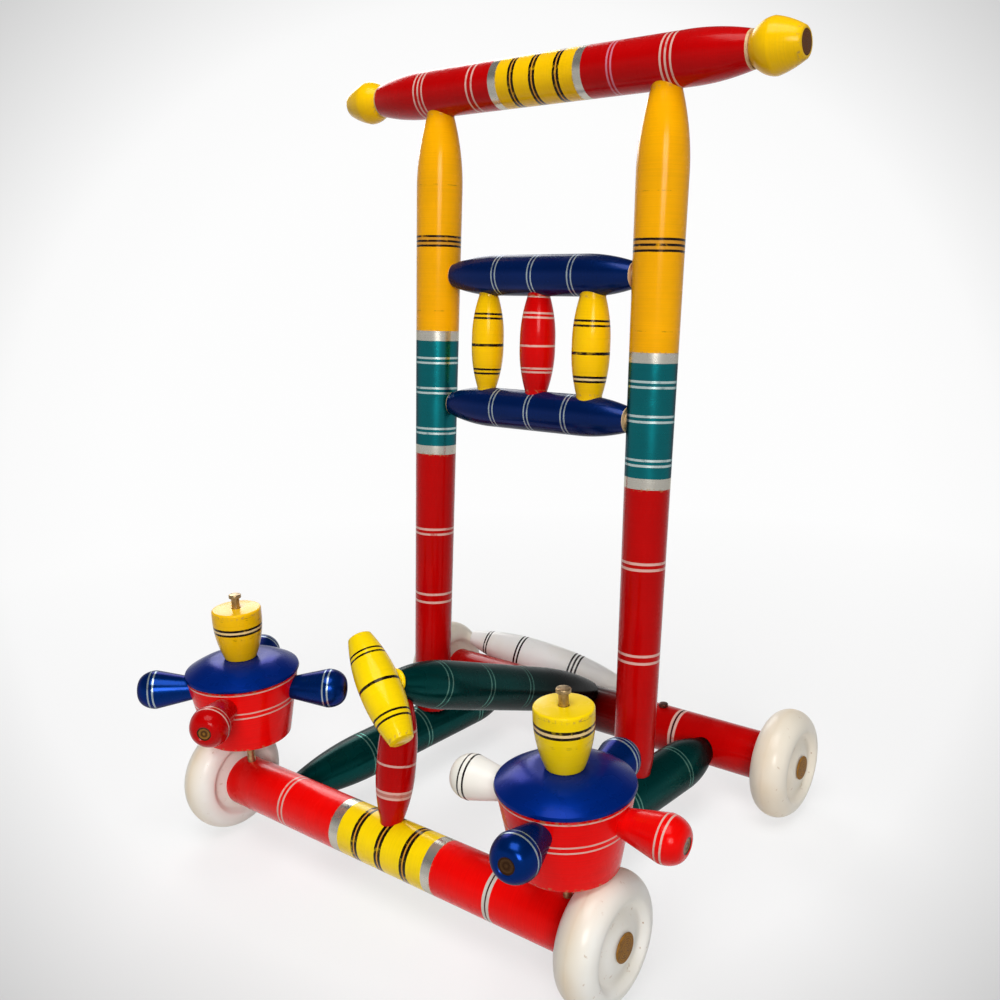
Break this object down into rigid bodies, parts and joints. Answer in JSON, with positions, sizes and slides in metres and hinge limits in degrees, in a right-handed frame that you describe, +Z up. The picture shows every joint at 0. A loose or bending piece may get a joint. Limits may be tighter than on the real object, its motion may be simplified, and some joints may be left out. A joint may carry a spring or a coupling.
{
  "type": "wooden push walker",
  "caption": "Child's push walker of turned, lacquered wood: leaning posts and a handle bar on a wheeled frame, with wheel-driven spinners and a free-turning propeller.",
  "frame": {"origin": "on the floor, under the middle of the walker's bounding box", "axes": "+Z up, +Y from the front beam with the spinners towards the handle and the child, +X to the right as seen from the front"},
  "size_m": [0.3694, 0.3338, 0.4795],
  "materials": {
    "red": "glossy red lacquer with thin turned rings",
    "blue": "glossy blue lacquer with thin silver rings",
    "green": "glossy dark green lacquer with thin pale rings",
    "yellow": "glossy yellow lacquer with thin black rings",
    "white": "ivory lacquer, worn",
    "brown": "bare end-grain dowel",
    "nail": "aged plated nail"
  },
  "bodies": {
    "frame": {"front_axle_beam": "red", "rear_axle_beam": "red", "left_post": "red", "right_post": "red", "handle_bar": "red", "middle_spindle": "red", "centre_post": "red", "upper_crossbar": "blue", "lower_crossbar": "blue", "left_side_rail": "green", "right_side_rail": "green", "centre_bar": "green", "left_spindle": "yellow", "right_spindle": "yellow", "left_handle_knob": "yellow", "right_handle_knob": "yellow", "rear_bar": "white", "left_knob_dowel": "brown", "right_knob_dowel": "brown", "front_left_wheel_pin": "brown", "front_right_wheel_pin": "brown", "rear_left_wheel_pin": "brown", "rear_right_wheel_pin": "brown", "rear_bar_dowel": "brown", "left_spinner_nail": "nail", "right_spinner_nail": "nail", "rear_axle_nail": "nail"},
    "left_spinner": {"left_drum": "red", "left_lid": "blue", "left_cap": "yellow", "left_peg_1": "blue", "left_peg_2": "red", "left_peg_3": "blue", "left_peg_4": "blue"},
    "right_spinner": {"right_drum": "red", "right_lid": "blue", "right_cap": "yellow", "right_peg_1": "white", "right_peg_2": "blue", "right_peg_3": "red", "right_peg_4": "blue"},
    "propeller": {"propeller_blade": "yellow", "propeller_peg": "yellow"},
    "front_left_wheel_body": {"front_left_wheel": "white"},
    "front_right_wheel_body": {"front_right_wheel": "white"},
    "rear_left_wheel_body": {"rear_left_wheel": "white"},
    "rear_right_wheel_body": {"rear_right_wheel": "white"}
  },
  "joints": [
    {"name": "front_left_wheel_spin", "type": "hinge", "parent": "frame", "child": "front_left_wheel_body", "pos_m": [-0.15061, -0.10164, 0.0352], "axis": [1, 0, 0], "continuous": true},
    {"name": "front_right_wheel_spin", "type": "hinge", "parent": "frame", "child": "front_right_wheel_body", "pos_m": [0.14039, -0.10164, 0.0352], "axis": [1, 0, 0], "continuous": true},
    {"name": "rear_left_wheel_spin", "type": "hinge", "parent": "frame", "child": "rear_left_wheel_body", "pos_m": [-0.15061, 0.11436, 0.0352], "axis": [1, 0, 0], "continuous": true},
    {"name": "rear_right_wheel_spin", "type": "hinge", "parent": "frame", "child": "rear_right_wheel_body", "pos_m": [0.14039, 0.11436, 0.0352], "axis": [1, 0, 0], "continuous": true},
    {"name": "left_spinner_spin", "type": "hinge", "parent": "frame", "child": "left_spinner", "pos_m": [-0.12911, -0.10164, 0.07105], "axis": [0, 0, 1], "continuous": true},
    {"name": "right_spinner_spin", "type": "hinge", "parent": "frame", "child": "right_spinner", "pos_m": [0.11889, -0.10164, 0.07105], "axis": [0, 0, 1], "continuous": true},
    {"name": "propeller_spin", "type": "hinge", "parent": "frame", "child": "propeller", "pos_m": [-0.00511, -0.10417, 0.1379], "axis": [0, -0.9251, 0.3798], "continuous": true}
  ],
  "couplings": [
    {"joint": "left_spinner_spin", "follows": "front_left_wheel_spin", "ratio": 1.6512},
    {"joint": "right_spinner_spin", "follows": "front_right_wheel_spin", "ratio": -1.6512}
  ]
}
